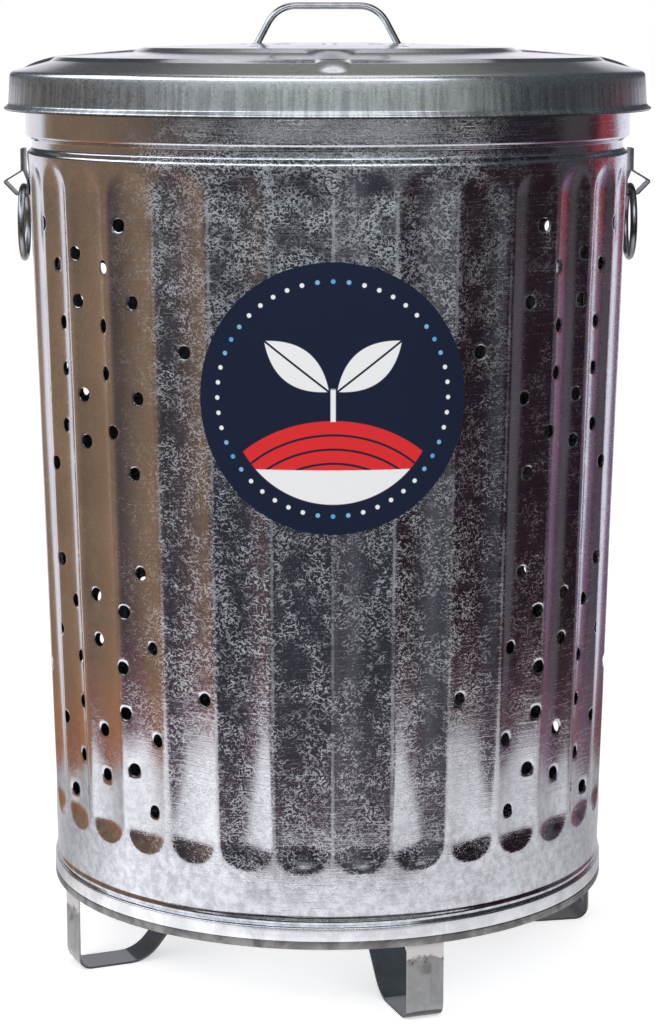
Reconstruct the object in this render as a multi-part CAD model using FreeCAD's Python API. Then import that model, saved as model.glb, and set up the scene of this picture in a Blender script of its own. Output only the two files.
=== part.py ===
import FreeCAD, Part
import math
import os

# Galvanised compost bin: a fluted and vented steel can on four strap legs,
# with a lift-off vented lid and a drop ring on each side.
# Millimetres and degrees. +Z up, the front faces -Y, the origin is on the floor under the axis.

# Sheet and fits
SHEET = 0.7
WIRE_CLEARANCE = 0.4
SEAT_CLEARANCE = 0.3
LABEL_CLEARANCE = 0.3

# Foot of the can: ring under the seam, folded seam, bottom
BASE_LIFT = 55.0
BASE_RING_HEIGHT = 5.5
BASE_RING_THICKNESS = 1.6
SEAM_HEIGHT = 10.0
SEAM_THICKNESS = 2.2
SEAM_CHAMFER = 0.8
BOTTOM_RISE = 4.0

# Wall, swaged groove under the collar, rolled rim
FOOT_RADIUS = 202.2
SHOULDER_RADIUS = 216.2
SHOULDER_HEIGHT = 588.5
GROOVE_HEIGHT = 13.0
GROOVE_DEPTH = 3.4
GROOVE_SLOPE = 4.0
COLLAR_RADIUS = 217.2
COLLAR_HEIGHT = 57.3
RIM_WIRE_DIAMETER = 5.4
RIM_NECK = 3.0
RIM_CURL_END = -110.0

# Flutes pressed into the wall, with a ridge at the front, the back and both sides
FLUTES_PER_QUARTER = 8
FLUTE_WIDTH = 36.6
FLUTE_DEPTH = 3.5
FLUTE_BOTTOM = 110.0
FLUTE_MARGIN = 5.5

# Vent holes: one punched group of rings, used on the wall, the lid and the bottom
VENT_DIAMETER = 9.5
VENT_RING_STEP = 32.4
VENT_UPPER_DROP = 128.5
VENT_UPPER_ANGLE = 54.2
VENT_LOWER_HEIGHT = 222.8
VENT_LOWER_ANGLE = 52.0
VENT_TILT = 2.1
VENT_REACH = 12.0

# Round card label on the front ridges
LABEL_DIAMETER = 181.0
LABEL_DROP = 153.1
LABEL_THICKNESS = 0.4

# Strap legs, bent round below the bottom, their ends inside the base ring
LEG_ANGLES = (18.5, 100.5, 196.0, -68.0)
LEG_WIDTH = 27.0
LEG_THICKNESS = 1.6
LEG_RUN = 53.0
LEG_RISE_ANGLE = 50.0
LEG_TAB = 16.0
LEG_OUTER_BEND = 10.0
LEG_INNER_BEND = 16.0
LEG_LAP = 5.0
LEG_CLEARANCE = 0.3

# Folded ears on both sides and the rings that hang in them; drops are below the shoulder
EAR_WIDTH = 20.0
EAR_SHEET = 1.2
EAR_TOP_RISE = 2.0
EAR_SPLIT_DROP = 13.5
EAR_PAD_TOP_DROP = 20.5
EAR_PAD_BOTTOM_DROP = 33.5
EAR_STANDOFF = 2.6
EAR_LEAF_GAP = 0.3
EAR_BEAK_REACH = 19.0
EAR_BEAK_DROP = 21.5
EAR_LIP_REACH = 9.8
EAR_LIP_RISE = 2.4
RING_WIRE = 5.2
RING_RADIUS = 25.5
RING_EYE_DROP = 25.7
RING_CLEARANCE = 0.5

# Lid: heights are above the seat, where the lid meets the rim
LID_SKIRT_GAP = 3.1
LID_HEM_REACH = 4.8
LID_HEM_DROP = 27.6
LID_HEM_FLARE = 2.4
LID_HEM_BEAD = 1.3
LID_SKIRT_TAPER = 1.8
LID_SHOULDER_ROUND = 8.0
LID_SLOPE_FALL = 2.1
LID_SLOPE_RUN = 28.5
LID_STEP_HEIGHT = 5.8
LID_STEP_RUN = 4.2
LID_PLATEAU_HEIGHT = 8.4
LID_PLATEAU_RUN = 54.5
LID_INNER_HEIGHT = 11.9
LID_INNER_RUN = 7.0
LID_CROWN_HEIGHT = 14.8
LID_BREAK_RADIUS = 81.0
LID_BREAK_RISE = 2.1
LID_MIDDLE_RADIUS = 48.0
LID_MIDDLE_RISE = 3.2
RIB_COUNT = 4
RIB_WIDTH = 15.0
RIB_OVERHANG = 4.3
RIB_END_HEIGHT = 8.3
RIB_END_RUN = 7.0
RIB_ROUND = 2.5
RIB_ROOT = 6.0
RIB_SINK = 0.4

# Wire handle on the lid
HANDLE_WIRE = 4.8
HANDLE_FOOT = 51.0
HANDLE_CORNER = 36.0
HANDLE_HEIGHT = 28.6
HANDLE_BEND = 22.0
HANDLE_SINK = 4.0

# Heights and radii that follow from the sizes above
FLUTE_PITCH = 90 / FLUTES_PER_QUARTER
SEAM_BOTTOM = BASE_LIFT + BASE_RING_HEIGHT
FOOT_HEIGHT = SEAM_BOTTOM + BOTTOM_RISE
RIM_HEIGHT = SHOULDER_HEIGHT + COLLAR_HEIGHT
FLUTE_TOP = SHOULDER_HEIGHT - FLUTE_MARGIN
VENT_UPPER_HEIGHT = SHOULDER_HEIGHT - VENT_UPPER_DROP
LABEL_HEIGHT = SHOULDER_HEIGHT - LABEL_DROP
EAR_TOP = SHOULDER_HEIGHT + EAR_TOP_RISE
EAR_SPLIT = SHOULDER_HEIGHT - EAR_SPLIT_DROP
EAR_PAD_TOP = SHOULDER_HEIGHT - EAR_PAD_TOP_DROP
EAR_PAD_BOTTOM = SHOULDER_HEIGHT - EAR_PAD_BOTTOM_DROP
EAR_BEAK_HEIGHT = SHOULDER_HEIGHT - EAR_BEAK_DROP
RING_EYE_HEIGHT = SHOULDER_HEIGHT - RING_EYE_DROP
WALL_TAPER = (SHOULDER_RADIUS - FOOT_RADIUS) / (SHOULDER_HEIGHT - FOOT_HEIGHT)
SEAM_INNER_RADIUS = max(FOOT_RADIUS, FOOT_RADIUS + WALL_TAPER * SEAM_HEIGHT)
SEAM_RADIUS = SEAM_INNER_RADIUS + SEAM_THICKNESS
CURL_INNER = RIM_WIRE_DIAMETER / 2 + WIRE_CLEARANCE
CURL_OUTER = CURL_INNER + SHEET
CURL_RADIUS = COLLAR_RADIUS - SHEET + CURL_OUTER
CURL_HEIGHT = RIM_HEIGHT - CURL_OUTER
LID_SKIRT_RADIUS = CURL_RADIUS + CURL_OUTER + LID_SKIRT_GAP
LID_HEM_RADIUS = LID_SKIRT_RADIUS + LID_HEM_REACH
LID_STEP_RADIUS = LID_SKIRT_RADIUS - LID_SLOPE_RUN
LID_PLATEAU_RADIUS = LID_STEP_RADIUS - LID_STEP_RUN
LID_INNER_RADIUS = LID_PLATEAU_RADIUS - LID_PLATEAU_RUN
LID_CROWN_RADIUS = LID_INNER_RADIUS - LID_INNER_RUN
RIB_REACH = LID_STEP_RADIUS + RIB_OVERHANG

UP = FreeCAD.Vector(0, 0, 1)
ORIGIN = FreeCAD.Vector(0, 0, 0)


def section_point(radius, height):
    return FreeCAD.Vector(radius, 0, height)


def level_point(radius, angle, height):
    """Point at an angle from +X, turning towards +Y."""
    turn = math.radians(angle)
    return FreeCAD.Vector(radius * math.cos(turn), radius * math.sin(turn), height)


def wall_radius(height):
    """Outside radius of the wall on a ridge."""
    return FOOT_RADIUS + WALL_TAPER * (height - FOOT_HEIGHT)


def rounded_edges(corners):
    """Lines and arcs along (radius, height, rounding) corners in the XZ plane."""
    points = [section_point(radius, height) for radius, height, rounding in corners]
    edges = []
    start = points[0]
    for before, here, after, corner in zip(points, points[1:], points[2:], corners[1:]):
        back = (before - here).normalize()
        ahead = (after - here).normalize()
        half_angle = back.getAngle(ahead) / 2
        rounding = corner[2]
        if rounding > 0:
            reach = rounding / math.tan(half_angle)
            middle = (back + ahead).normalize()
            apex = here + middle * (rounding / math.sin(half_angle) - rounding)
            first = here + back * reach
            last = here + ahead * reach
            edges.append(Part.LineSegment(start, first).toShape())
            edges.append(Part.Arc(first, apex, last).toShape())
            start = last
        else:
            edges.append(Part.LineSegment(start, here).toShape())
            start = here
    edges.append(Part.LineSegment(start, points[-1]).toShape())
    return edges


def closed_face(edges):
    """Face inside a chain of edges, closed by one straight line."""
    chain = Part.Wire(edges)
    ends = [chain.OrderedVertexes[-1].Point, chain.OrderedVertexes[0].Point]
    return Part.Face(Part.Wire(edges + [Part.LineSegment(*ends).toShape()]))


def revolved(face, angle=360):
    return face.revolve(ORIGIN, UP, angle)


def bent_strip(corners, thickness, width):
    """Sheet strip of a given width, bent in the XZ plane, with its sheet on the left of the path."""
    path = Part.Wire(rounded_edges(corners))
    section = path.makeOffset2D(thickness, 0, True, True)
    strip = section.extrude(FreeCAD.Vector(0, width, 0))
    strip.translate(FreeCAD.Vector(0, -width / 2, 0))
    return strip


def turned(shape, angle):
    """Copy of a shape made on the +X side, turned about Z."""
    copy = shape.copy()
    copy.rotate(ORIGIN, UP, angle)
    return copy


def vent_points(tilt):
    """Across and up offsets of one group: rings of 6, 10 and 6 holes, tilted as a whole."""
    inner = [(1, 30 + 60 * step) for step in range(6)]
    middle = [(2, 30 * step) for step in range(12) if step % 6]
    outer = [(3, 60 * step) for step in range(6)]
    points = []
    for ring, angle in inner + middle + outer:
        radius = ring * VENT_RING_STEP
        turn = math.radians(angle + tilt)
        points.append((radius * math.cos(turn), radius * math.sin(turn)))
    return points


def flat_vents(height):
    """Cutters for a group punched through a level sheet at the axis."""
    base = height - VENT_REACH
    holes = []
    for across, along in vent_points(0):
        start = FreeCAD.Vector(across, along, base)
        holes.append(Part.makeCylinder(VENT_DIAMETER / 2, 2 * VENT_REACH, start, UP))
    return Part.Compound(holes)


def wall_vents():
    """Cutters for the upper and the lower group on one quarter of the wall."""
    holes = []
    for height, angle in ((VENT_UPPER_HEIGHT, VENT_UPPER_ANGLE), (VENT_LOWER_HEIGHT, VENT_LOWER_ANGLE)):
        for across, up in vent_points(VENT_TILT):
            radius = wall_radius(height + up)
            turn = 90 - angle + math.degrees(across / radius)
            start = level_point(radius - VENT_REACH, turn, height + up)
            outward = level_point(1, turn, 0)
            holes.append(Part.makeCylinder(VENT_DIAMETER / 2, 2 * VENT_REACH, start, outward))
    return Part.Compound(holes)


def wall_form(inset, overrun):
    """Solid behind the wall's face over one flute, inset by a sheet or not, and run past both ends."""
    low = FOOT_HEIGHT - overrun
    neck = CURL_HEIGHT - RIM_NECK + overrun
    groove = SHOULDER_RADIUS - GROOVE_DEPTH - inset
    groove_low = SHOULDER_HEIGHT + GROOVE_SLOPE
    groove_high = SHOULDER_HEIGHT + GROOVE_HEIGHT - GROOVE_SLOPE
    collar = COLLAR_RADIUS - inset
    corners = [
        (0, low, 0),
        (wall_radius(low) - inset, low, 0),
        (SHOULDER_RADIUS - inset, SHOULDER_HEIGHT, 0),
        (groove, groove_low, 0),
        (groove, groove_high, 0),
        (collar, SHOULDER_HEIGHT + GROOVE_HEIGHT, 0),
        (collar, neck, 0),
        (0, neck, 0),
    ]
    return revolved(closed_face(rounded_edges(corners)), FLUTE_PITCH)


def flute_cutter(inset):
    """Round-ended hollow of one flute, as deep in the inner face of the sheet as in the outer."""
    half = FLUTE_WIDTH / 2
    middle_radius = wall_radius((FLUTE_BOTTOM + FLUTE_TOP) / 2)
    wall_bulge = middle_radius - math.sqrt(middle_radius ** 2 - half ** 2)
    hollow = FLUTE_DEPTH - wall_bulge
    press_radius = (half ** 2 + hollow ** 2) / (2 * hollow)
    low = FLUTE_BOTTOM + half
    high = FLUTE_TOP - half
    offset = press_radius - FLUTE_DEPTH
    start = section_point(wall_radius(low) + offset, low)
    end = section_point(wall_radius(high) + offset, high)
    tool_radius = press_radius + inset
    run = end - start
    bar = Part.makeCylinder(tool_radius, run.Length, start, run)
    tool = bar.fuse([Part.makeSphere(tool_radius, start), Part.makeSphere(tool_radius, end)])
    return turned(tool, FLUTE_PITCH / 2)


def wall_quarter():
    """Wall from the right side to the back, made of equal fluted strips and then vented."""
    outside = wall_form(0, 0).cut(flute_cutter(0))
    inside = wall_form(SHEET, SHEET).cut(flute_cutter(SHEET))
    strip = outside.cut(inside)
    others = [turned(strip, step * FLUTE_PITCH) for step in range(1, FLUTES_PER_QUARTER)]
    return strip.fuse(others).removeSplitter().cut(wall_vents())


def rim_roll():
    """Top of the wall's sheet, from the neck up, curled outwards over the rim wire."""
    inner_face = COLLAR_RADIUS - SHEET
    neck = CURL_HEIGHT - RIM_NECK
    end = math.radians(RIM_CURL_END)
    middle = math.radians((180 + RIM_CURL_END) / 2)

    def on_curl(radius, angle):
        return section_point(CURL_RADIUS + radius * math.cos(angle), CURL_HEIGHT + radius * math.sin(angle))

    outer = [on_curl(CURL_OUTER, angle) for angle in (math.pi, middle, end)]
    inner = [on_curl(CURL_INNER, angle) for angle in (end, middle, math.pi)]
    edges = [
        Part.LineSegment(section_point(inner_face, neck), outer[0]).toShape(),
        Part.Arc(*outer).toShape(),
        Part.LineSegment(outer[2], inner[0]).toShape(),
        Part.Arc(*inner).toShape(),
        Part.LineSegment(inner[2], section_point(COLLAR_RADIUS, neck)).toShape(),
    ]
    return revolved(closed_face(edges))


def body_shell():
    """Wall with its flutes and vents, up to the rim's neck: one quarter, mirrored across both planes."""
    right_back = wall_quarter()
    right_front = right_back.mirror(ORIGIN, FreeCAD.Vector(0, 1, 0))
    left = [quarter.mirror(ORIGIN, FreeCAD.Vector(1, 0, 0)) for quarter in (right_back, right_front)]
    return right_back.fuse([right_front] + left).removeSplitter()


def rim_wire():
    return Part.makeTorus(CURL_RADIUS, RIM_WIRE_DIAMETER / 2, section_point(0, CURL_HEIGHT), UP)


def bottom_pan():
    """Flat bottom sheet with drain holes, held in the seam band."""
    disc = Part.makeCylinder(SEAM_INNER_RADIUS, SHEET, section_point(0, FOOT_HEIGHT - SHEET), UP)
    return disc.cut(flat_vents(FOOT_HEIGHT))


def seam_band():
    """Folded seam round the foot of the wall, with chamfered outer edges."""
    top = SEAM_BOTTOM + SEAM_HEIGHT
    corners = [
        (SEAM_INNER_RADIUS, SEAM_BOTTOM, 0),
        (SEAM_RADIUS - SEAM_CHAMFER, SEAM_BOTTOM, 0),
        (SEAM_RADIUS, SEAM_BOTTOM + SEAM_CHAMFER, 0),
        (SEAM_RADIUS, top - SEAM_CHAMFER, 0),
        (SEAM_RADIUS - SEAM_CHAMFER, top, 0),
        (SEAM_INNER_RADIUS, top, 0),
    ]
    return revolved(closed_face(rounded_edges(corners)))


def base_ring():
    hoop = Part.makeCylinder(SEAM_RADIUS, BASE_RING_HEIGHT, section_point(0, BASE_LIFT), UP)
    hollow = Part.makeCylinder(
        SEAM_RADIUS - BASE_RING_THICKNESS, BASE_RING_HEIGHT, section_point(0, BASE_LIFT), UP)
    return hoop.cut(hollow)


def leg():
    """One strap on the +X side: from the bottom down to the floor, out, and up inside the base ring."""
    ring_inside = SEAM_RADIUS - BASE_RING_THICKNESS - LEG_CLEARANCE
    outer = math.sqrt(ring_inside ** 2 - (LEG_WIDTH / 2) ** 2)
    heel = outer - LEG_RUN
    tab_height = FOOT_HEIGHT - SHEET - LEG_THICKNESS
    toe = heel - tab_height / math.tan(math.radians(LEG_RISE_ANGLE))
    corners = [
        (toe - LEG_TAB, tab_height, 0),
        (toe, tab_height, LEG_OUTER_BEND),
        (heel, 0, LEG_INNER_BEND),
        (outer, 0, LEG_OUTER_BEND),
        (outer, BASE_LIFT + LEG_LAP, 0),
    ]
    return bent_strip(corners, LEG_THICKNESS, LEG_WIDTH)


def ear():
    """One folded strip on the +X side: a pad on the wall, an eye, and two leaves above."""
    pad = wall_radius(EAR_PAD_BOTTOM)
    leaf = wall_radius(EAR_PAD_TOP) + EAR_STANDOFF
    front = leaf + 2 * EAR_SHEET + EAR_LEAF_GAP
    corners = [
        (leaf, EAR_TOP, 0),
        (leaf, EAR_SPLIT, EAR_SHEET),
        (wall_radius(EAR_PAD_TOP), EAR_PAD_TOP, EAR_SHEET),
        (pad, EAR_PAD_BOTTOM, 2 * EAR_SHEET),
        (pad + EAR_LIP_REACH, EAR_PAD_BOTTOM + EAR_LIP_RISE, 2 * EAR_SHEET),
        (pad + EAR_BEAK_REACH, EAR_BEAK_HEIGHT, 1.5 * EAR_SHEET),
        (front, EAR_SPLIT, EAR_SHEET),
        (front, EAR_TOP, 0),
    ]
    return bent_strip(corners, EAR_SHEET, EAR_WIDTH)


def drop_ring():
    """One round wire ring on the +X side, hanging flat from the ear's eye."""
    reach = wall_radius(RING_EYE_HEIGHT) + EAR_SHEET + RING_CLEARANCE + RING_WIRE / 2
    centre = section_point(reach, RING_EYE_HEIGHT - RING_RADIUS)
    return Part.makeTorus(RING_RADIUS, RING_WIRE / 2, centre, FreeCAD.Vector(1, 0, 0))


def lid_slope():
    """Fall of the lid's outer slope, in height over radius."""
    return (LID_STEP_HEIGHT + LID_SLOPE_FALL) / (LID_SKIRT_RADIUS - LID_STEP_RADIUS)


def lid_seat():
    """Height that the lid's profile is measured from, so that its underside clears the rim."""
    slant = math.atan(lid_slope())
    underside = CURL_HEIGHT + (CURL_OUTER + SEAT_CLEARANCE) / math.cos(slant)
    return underside + SHEET + lid_slope() * (CURL_RADIUS + SHEET - LID_SKIRT_RADIUS) + LID_SLOPE_FALL


def lid_form(inset):
    """Solid under the lid's outer face, or under its inner face when moved in by a sheet."""
    seat = lid_seat()
    profile = [
        (LID_HEM_RADIUS, -LID_HEM_DROP, 0),
        (LID_SKIRT_RADIUS + LID_SKIRT_TAPER, LID_HEM_FLARE - LID_HEM_DROP, 0),
        (LID_SKIRT_RADIUS, -LID_SLOPE_FALL, LID_SHOULDER_ROUND),
        (LID_STEP_RADIUS, LID_STEP_HEIGHT, 0),
        (LID_PLATEAU_RADIUS, LID_PLATEAU_HEIGHT, 0),
        (LID_INNER_RADIUS, LID_INNER_HEIGHT, 0),
        (LID_CROWN_RADIUS, LID_CROWN_HEIGHT, 0),
        (LID_BREAK_RADIUS, LID_CROWN_HEIGHT + LID_BREAK_RISE, 0),
        (LID_MIDDLE_RADIUS, LID_CROWN_HEIGHT + LID_MIDDLE_RISE, 0),
    ]
    corners = [(radius - inset, seat + rise - inset, rounding) for radius, rise, rounding in profile]
    corners.append((0, corners[-1][1], 0))
    corners.append((0, corners[0][1], 0))
    form = revolved(closed_face(rounded_edges(corners)))
    return form.fuse([turned(rib_form(seat, inset), step * 360 / RIB_COUNT) for step in range(RIB_COUNT)])


def rib_form(seat, inset):
    """One pressed rib on the +X side, from just under the crown's edge falling out over the slope."""
    width = RIB_WIDTH - 2 * inset
    root = LID_CROWN_RADIUS - RIB_ROOT
    low = seat - LID_SLOPE_FALL - inset
    end_top = seat + RIB_END_HEIGHT - inset
    root_top = seat + LID_CROWN_HEIGHT - RIB_SINK - inset
    corners = [
        (root, low, 0),
        (RIB_REACH + RIB_END_RUN - inset, low, 0),
        (RIB_REACH - inset, end_top, RIB_ROUND),
        (root, root_top, 0),
    ]
    rib = closed_face(rounded_edges(corners)).extrude(FreeCAD.Vector(0, width, 0))
    rib.translate(FreeCAD.Vector(0, -width / 2, 0))
    return rib


def lid_hem():
    """Rolled edge round the skirt's foot, with eight flat sides."""
    corner_radius = LID_HEM_BEAD / math.cos(math.radians(22.5))
    middle = section_point(LID_HEM_RADIUS - LID_HEM_BEAD, lid_seat() - LID_HEM_DROP)
    corners = []
    for step in range(8):
        turn = math.radians(22.5 + 45 * step)
        radius = middle.x + corner_radius * math.cos(turn)
        corners.append((radius, middle.z + corner_radius * math.sin(turn), 0))
    return revolved(closed_face(rounded_edges(corners)))


def lid_cover():
    sheet = lid_form(0).cut(lid_form(SHEET))
    vents = flat_vents(lid_seat() + LID_CROWN_HEIGHT)
    return sheet.fuse(lid_hem()).cut(vents).removeSplitter()


def lid_handle():
    """Bent wire across the lid, its ends standing on the crown."""
    summit = lid_seat() + LID_CROWN_HEIGHT + LID_MIDDLE_RISE
    top = summit + HANDLE_HEIGHT - HANDLE_WIRE / 2
    foot = summit - HANDLE_SINK
    corners = [
        (-HANDLE_FOOT, foot, 0),
        (-HANDLE_CORNER, top, HANDLE_BEND),
        (HANDLE_CORNER, top, HANDLE_BEND),
        (HANDLE_FOOT, foot, 0),
    ]
    path = Part.Wire(rounded_edges(corners))
    start = path.OrderedVertexes[0].Point
    along = section_point(*corners[1][:2]) - start
    ring = Part.Wire(Part.makeCircle(HANDLE_WIRE / 2, start, along))
    wire = path.makePipeShell([ring], True, False)
    return wire.cut(lid_form(0))


def label():
    """Thin card disc bent round the front of the wall, on the ridges."""
    half = LABEL_DIAMETER / 2
    low = LABEL_HEIGHT - half
    high = LABEL_HEIGHT + half

    def cone(gap):
        return Part.makeCone(
            wall_radius(low) + gap, wall_radius(high) + gap, high - low, section_point(0, low), UP)

    skin = cone(LABEL_CLEARANCE + LABEL_THICKNESS).cut(cone(LABEL_CLEARANCE))
    bend_radius = wall_radius(LABEL_HEIGHT) + LABEL_CLEARANCE
    half_width = bend_radius * math.sin(half / bend_radius)
    centre = section_point(0, LABEL_HEIGHT)
    oval = Part.Ellipse(section_point(0, high), section_point(half_width, LABEL_HEIGHT), centre)
    disc = Part.Face(Part.Wire(oval.toShape()))
    punch = disc.extrude(FreeCAD.Vector(0, -2 * SHOULDER_RADIUS, 0))
    return skin.common(punch)


def main():
    os.makedirs("parts", exist_ok=True)
    nodes = {
        "body_shell": body_shell(),
        "rim_wire": rim_wire(),
        "rim_roll": rim_roll(),
        "bottom_pan": bottom_pan(),
        "seam_band": seam_band(),
        "base_ring": base_ring(),
        "label": label(),
        "lid_cover": lid_cover(),
        "lid_handle": lid_handle(),
        "right_ear": ear(),
        "left_ear": turned(ear(), 180),
        "right_ring": drop_ring(),
        "left_ring": turned(drop_ring(), 180),
    }
    for number, angle in enumerate(LEG_ANGLES, 1):
        nodes["leg_%d" % number] = turned(leg(), angle - 90)
    for name, shape in nodes.items():
        shape.exportStep("parts/%s.step" % name)
        print(name, len(shape.Solids), "solid,", round(shape.Volume), "mm3, valid", shape.isValid())


main()
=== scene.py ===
import math

import bmesh
import bpy
import numpy as np
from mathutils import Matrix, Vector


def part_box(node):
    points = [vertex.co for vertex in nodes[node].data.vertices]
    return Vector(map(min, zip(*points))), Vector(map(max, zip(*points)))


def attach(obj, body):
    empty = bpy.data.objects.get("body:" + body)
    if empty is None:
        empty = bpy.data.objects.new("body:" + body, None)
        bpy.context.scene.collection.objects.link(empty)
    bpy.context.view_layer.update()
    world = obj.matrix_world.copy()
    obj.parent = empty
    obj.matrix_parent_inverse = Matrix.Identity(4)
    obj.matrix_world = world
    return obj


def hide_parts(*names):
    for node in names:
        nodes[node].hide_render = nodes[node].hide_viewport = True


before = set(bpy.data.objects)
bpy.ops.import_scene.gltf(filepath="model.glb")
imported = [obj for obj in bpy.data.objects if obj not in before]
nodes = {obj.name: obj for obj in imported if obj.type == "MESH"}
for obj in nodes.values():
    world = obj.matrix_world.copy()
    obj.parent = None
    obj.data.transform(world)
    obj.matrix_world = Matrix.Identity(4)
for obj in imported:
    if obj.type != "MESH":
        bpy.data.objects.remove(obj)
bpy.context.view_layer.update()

# Galvanised compost bin with a loose lid. Metres and degrees; the front faces -Y.
# An angle round the bin is measured from the front, turning towards +X.

MM = 0.001
TINY = 1e-9
SHEET = 0.7 * MM

# Wall: cone, swaged groove, collar and curled rim
FOOT_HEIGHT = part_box("body_shell")[0].z
SEAM_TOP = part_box("seam_band")[1].z
FOOT_RADIUS = 202.2 * MM
SHOULDER_RADIUS = 216.2 * MM
SHOULDER_HEIGHT = 588.5 * MM
GROOVE_HEIGHT = 13.0 * MM
GROOVE_DEPTH = 3.4 * MM
GROOVE_SLOPE = 4.0 * MM
SHOULDER_ROUND = 4.4 * MM
BEAD_RISE = 1.1 * MM
BEAD_LIFT = 3.4 * MM
BEAD_HALF = 2.3 * MM
COLLAR_RADIUS = 217.2 * MM
CURL_BEND = 3.45 * MM
CURL_START = 168.0
CURL_END = -110.0
CURL_ROWS = 22
RIM_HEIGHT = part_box("rim_roll")[1].z
WALL_TAPER = (SHOULDER_RADIUS - FOOT_RADIUS) / (SHOULDER_HEIGHT - FOOT_HEIGHT)

# Height and start of each slight waver in the sheet, then its crossed waves round the bin and up it
WALL_WAVERS = ((0.22 * MM, 0.0, (7, 9), (2, 11)), (0.10 * MM, 1.3, (23, -31), (5, 41)))

# Rows of the wall's mesh: end and step of each stretch in millimetres, for the foot, the bead, the wall
# below the flutes, their lower ends, the flutes, their upper ends, the groove and the collar
WALL_ROWS = ((SEAM_TOP / MM - 2, 4), (SEAM_TOP / MM + 11, 0.7), (104, 5), (136, 1.7),
             (550, 4.5), (587, 1.8), (603, 0.8), (642, 5))

# Flutes pressed into the wall, a ridge between each two
FLUTES = 32
FLUTE_HALF = 18.3 * MM
FLUTE_DEPTH = 3.5 * MM
FLUTE_BOTTOM = 110.0 * MM
FLUTE_TOP = 583.0 * MM
FLUTE_SOFT = 0.35 * MM
FLUTE_LEAST = -4 * FLUTE_DEPTH
FLUTE_COLUMNS = 16
COLUMN_CROWDING = 0.085

# Vents: groups of three rings on the wall and on the lid
VENT_RADIUS = 4.75 * MM
VENT_RING_STEP = 32.4 * MM
VENT_GROUPS = ((460.0 * MM, 54.2), (222.8 * MM, 52.0))
VENT_TILT = 2.1
VENT_PATCH = 8.6 * MM
VENT_LIP = 0.35 * MM
LID_VENT_LIP = 1.3 * MM
VENT_RINGS = (0.3, 0.58, 0.8, 0.94, 1.0)
VENT_LIP_START = 0.8

# Label
LABEL_RADIUS = 90.5 * MM
LABEL_HEIGHT = 435.4 * MM
LABEL_GAP = 0.3 * MM
LABEL_THICKNESS = 0.4 * MM
LABEL_RINGS = 30
LABEL_SPOKES = 120
LABEL_CORE = (3.0 * MM, 0.5 * MM)

# Foot: folded seam, base ring, strap legs
SEAM_INSIDE = 202.47 * MM
SEAM_OUTSIDE = 204.67 * MM
SEAM_ROUND = 0.9 * MM
SEAM_INNER_ROUND = 0.1 * MM
BASE_RING_INSIDE = 203.07 * MM
BASE_RING_ROUND = 0.5 * MM
BASE_RING_INNER_ROUND = 0.3 * MM
HOOP_SPACING = 3.0 * MM
HOOP_STEP = 2.0
HOOP_SHARP = 50.0
LEG_ANGLES = (18.5, 100.5, 196.0, -68.0)
LEG_HALF_WIDTH = 13.5 * MM
LEG_THICKNESS = 1.6 * MM
LEG_OUTSIDE = 202.32 * MM
LEG_RUN = 53.0 * MM
LEG_RISE_ANGLE = 50.0
LEG_TAB = 16.0 * MM
LEG_TOP = 60.0 * MM
LEG_TAB_BEND = 10.0 * MM
LEG_HEEL_BEND = 28.0 * MM
LEG_FOOT_BEND = 10.0 * MM
LEG_SPACING = 2.5 * MM
LEG_COLUMNS = 25
LEG_RIB_HALF = 5.5 * MM
LEG_RIB_FLANK = 0.6 * LEG_RIB_HALF
LEG_RIB_RISE = 1.9 * MM
LEG_RIB_TOP = 39.0 * MM
LEG_RIB_BOTTOM = 8.0 * MM
LEG_RIB_TOP_RUN = 4.0 * MM
LEG_RIB_BOTTOM_RUN = 5.0 * MM
LEG_RIB_DEPTH_RUN = 1.0 * MM

# Wires: drop rings and lid handle
RING_WIRE = 2.6 * MM
RING_RADIUS = 25.5 * MM
RING_STEPS = 72
HANDLE_WIRE = 2.4 * MM
HANDLE_FOOT = 51.0 * MM
HANDLE_CORNER = 36.0 * MM
HANDLE_BEND = 22.0 * MM
HANDLE_BEND_STEPS = 12
HANDLE_SPACING = 2.0 * MM
HANDLE_SINK = 1.5 * MM
WIRE_SIDES = 14

# Lid
LID_SUMMIT = 665.33 * MM
LID_SEAT = 647.33 * MM
HEM_RADIUS = 230.7 * MM
HEM_HEIGHT = 619.73 * MM
HEM_BEAD = 1.3 * MM
HEM_ARC = (75.0, -235.0)
HEM_ROWS = 16
LID_COLUMN_STEP = 1.5
LID_ROW_STEP = 2.2 * MM
CROWN_RADIUS = 140.0 * MM
RIB_COLUMN_STEP = 0.4
RIB_COLUMN_REACH = 10.0
RIB_HALF_WIDTH = 7.5 * MM
RIB_EDGE = 4.0 * MM
RIB_FLARE = 13.0 * MM
RIB_FLARE_RUN = 9.0 * MM
RIB_START = 133.0 * MM
RIB_ROUND_START = 203.0 * MM
RIB_ROUND_RUN = 19.0 * MM
RIB_LOWEST = LID_SEAT - 4 * MM
RIB_PROFILE = [(radius * MM, rise * MM) for radius, rise in (
    (127, 12), (133, 14), (196, 8.6), (203, 6.8), (208, 5.3), (213, 3.4), (217, 1.4), (221, -1.2))]

# Lid's section from the middle out: radius, rise over the seat and bend in millimetres
LID_PROFILE = [(radius * MM, LID_SEAT + rise * MM, bend * MM) for radius, rise, bend in (
    (2, 18.0, 0), (48, 18.0, 12), (81, 16.9, 12), (133, 14.8, 2.2), (140, 11.9, 2.5), (194.5, 8.4, 1.6),
    (198.7, 5.8, 1.6), (227.2, -2.1, 4), (228.9, -24.6, 1.5), (HEM_RADIUS / MM, -26.3, 0))]

# Camera and photograph
PHOTO_HEIGHT = 1024
FOCAL_PIXELS = 2714
CAMERA_DISTANCE = 1.9787
CAMERA_HEIGHT = 0.6754
CAMERA_PITCH = 10.10
CAMERA_SWING = 1.0
SENSOR = 36.0


# Meshes

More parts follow.
